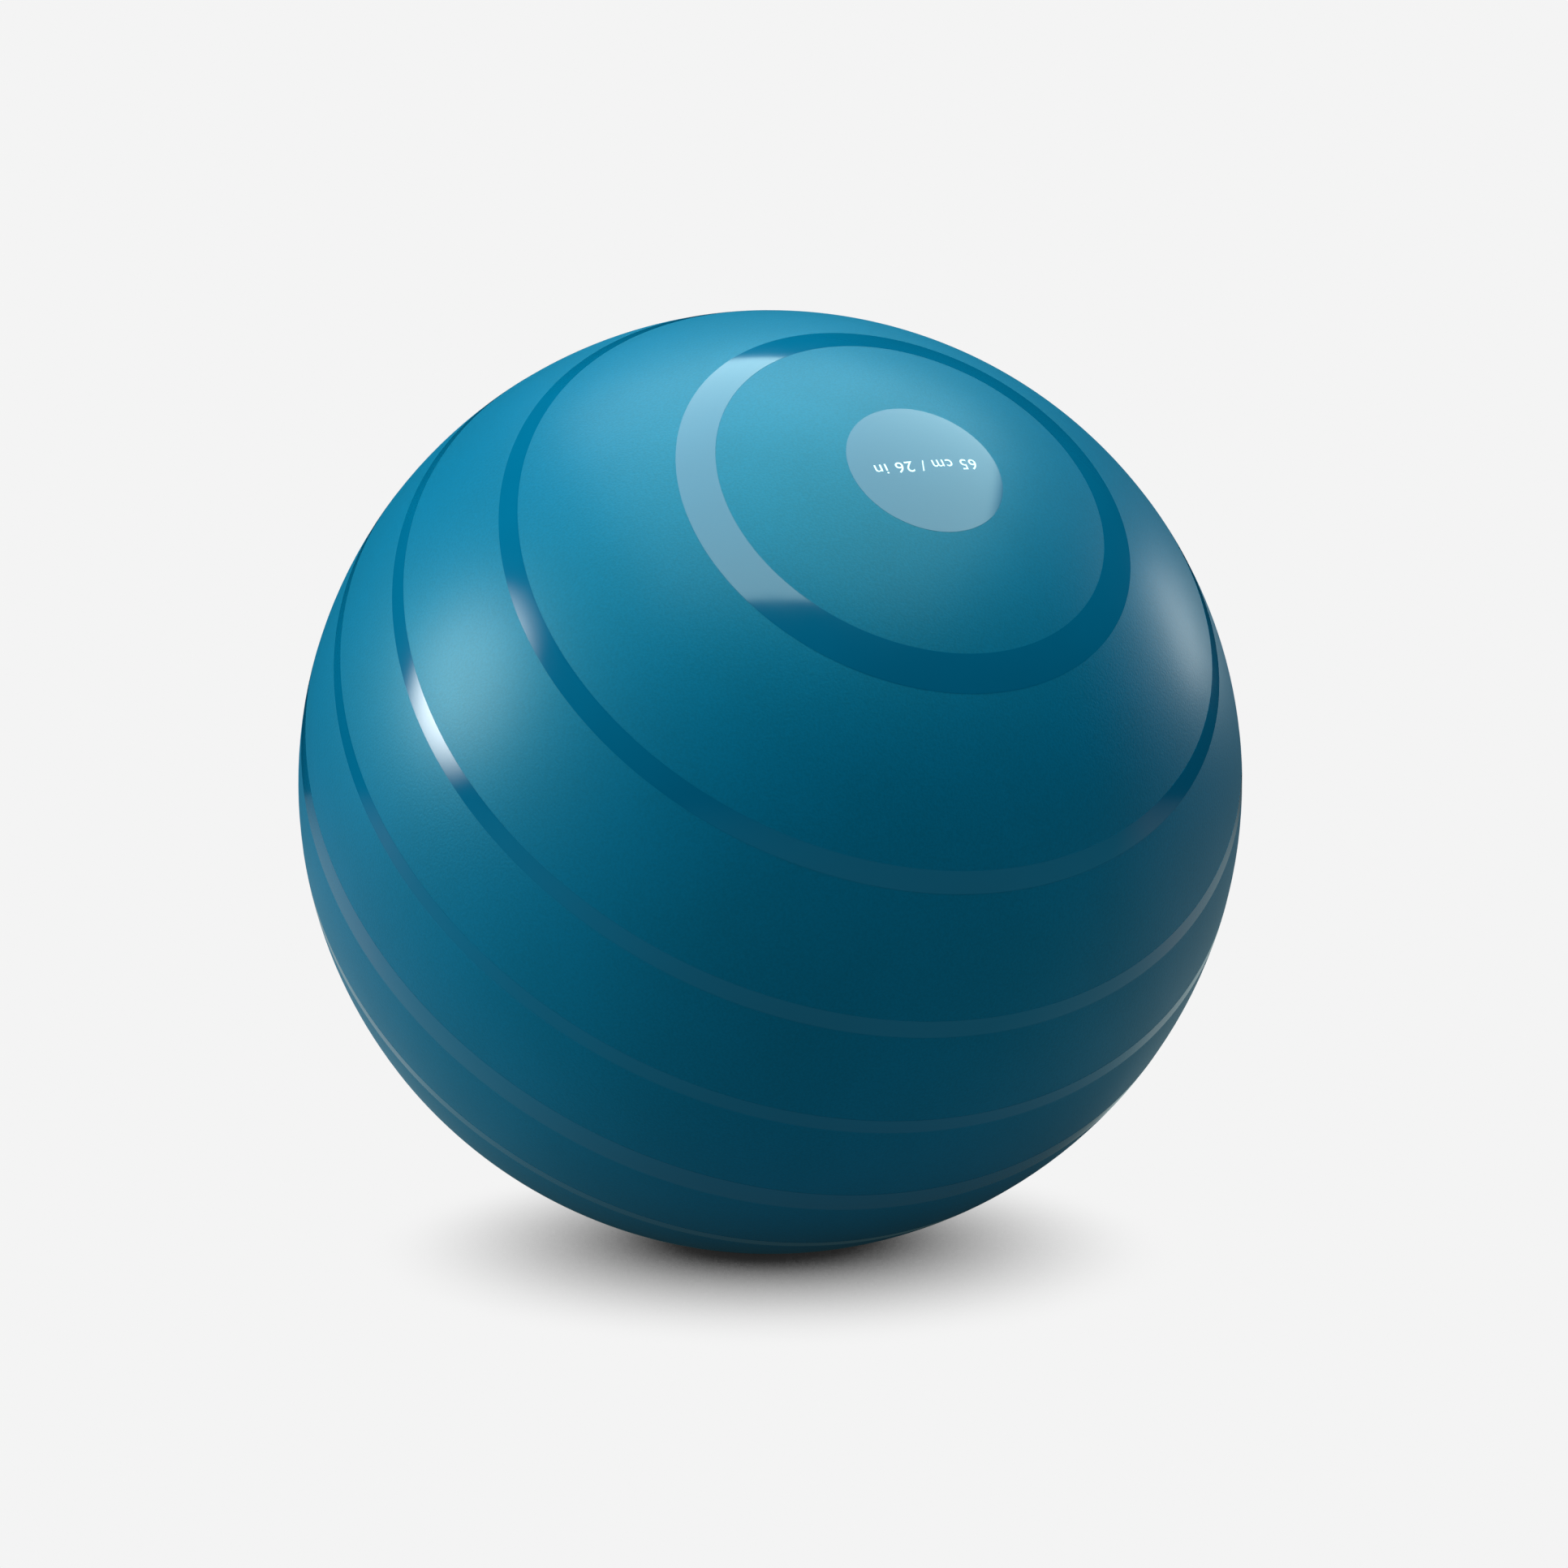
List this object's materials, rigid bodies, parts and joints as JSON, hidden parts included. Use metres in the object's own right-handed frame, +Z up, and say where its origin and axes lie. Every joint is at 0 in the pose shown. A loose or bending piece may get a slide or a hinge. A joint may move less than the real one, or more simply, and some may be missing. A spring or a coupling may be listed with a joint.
{
  "type": "exercise ball",
  "caption": "Inflated vinyl exercise ball with a satin skin, polished bands round its moulding axis, and a push-in plug in the air valve at one pole.",
  "frame": {"origin": "middle of the flat contact patch, on the floor under the ball's centre", "axes": "+Z up; the moulding axis lies in the YZ plane, with the pole without the valve up and towards -Y and the valve down and towards +Y"},
  "size_m": [0.6502, 0.65, 0.6478],
  "materials": {
    "satin_vinyl": "satin",
    "seat_vinyl": "satin",
    "plug_plastic": "satin"
  },
  "bodies": {
    "ball": {"ball_skin": "satin_vinyl", "valve_seat": "seat_vinyl"},
    "plug": {"valve_plug": "plug_plastic"}
  },
  "joints": [
    {"name": "plug_pull", "type": "slide", "parent": "ball", "child": "plug", "axis": [0, 0.7864, -0.6177], "range_m": [0, 0.03]}
  ]
}
